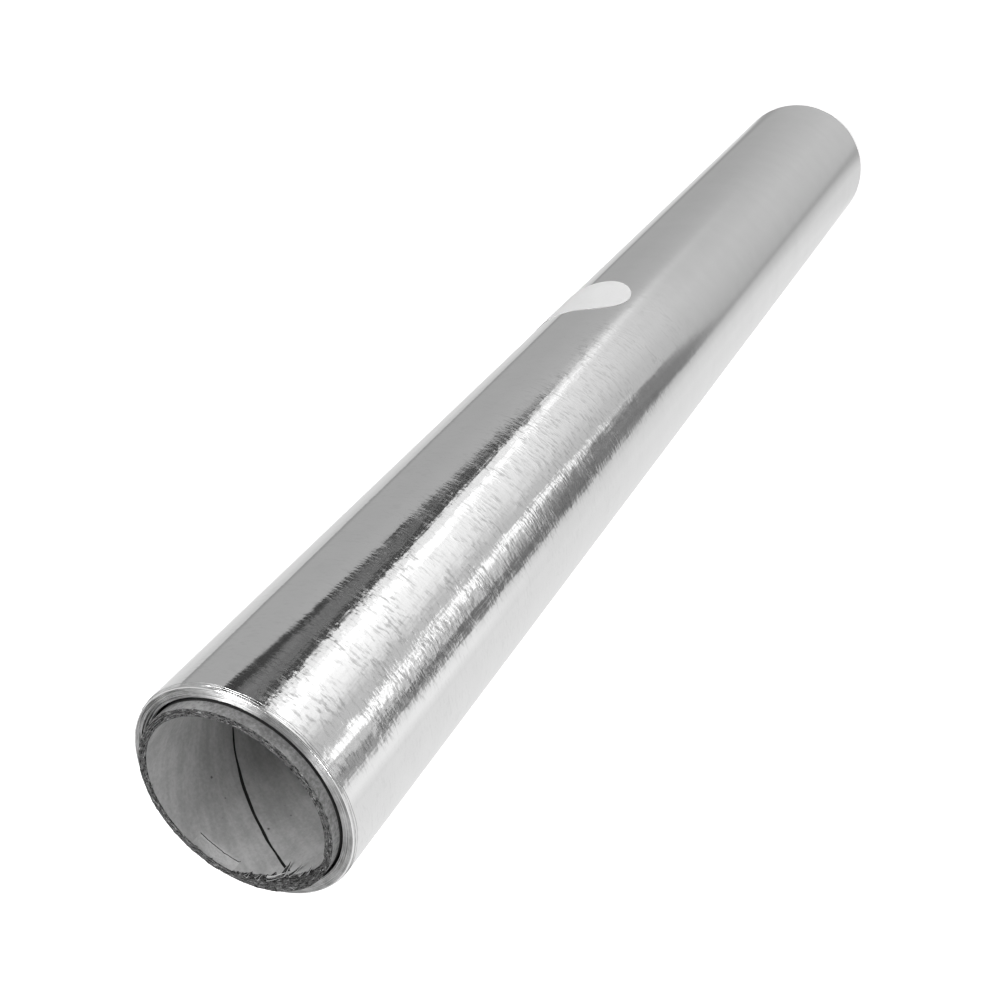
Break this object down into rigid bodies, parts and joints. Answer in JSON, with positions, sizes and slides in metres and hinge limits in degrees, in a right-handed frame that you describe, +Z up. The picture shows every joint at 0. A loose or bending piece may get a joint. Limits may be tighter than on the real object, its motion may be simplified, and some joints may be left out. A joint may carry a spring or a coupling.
{
  "type": "aluminium foil roll",
  "caption": "Roll of household aluminium foil wound on a spirally made paperboard core, closed by a round-ended paper label.",
  "frame": {"origin": "centre of the core's lower end, on the surface that the roll stands on", "axes": "+Z up along the roll's axis, +X through the middle of the closing label, near enough"},
  "size_m": [0.0389, 0.0388, 0.3044],
  "materials": {
    "foil": "bright rolled foil, lightly crinkled",
    "core_paper": "grey paperboard, rough at its cut ends",
    "label_paper": "smooth white label paper"
  },
  "bodies": {
    "root": {"core_tube": "core_paper", "foil_winding": "foil", "closing_label": "label_paper"}
  },
  "joints": []
}
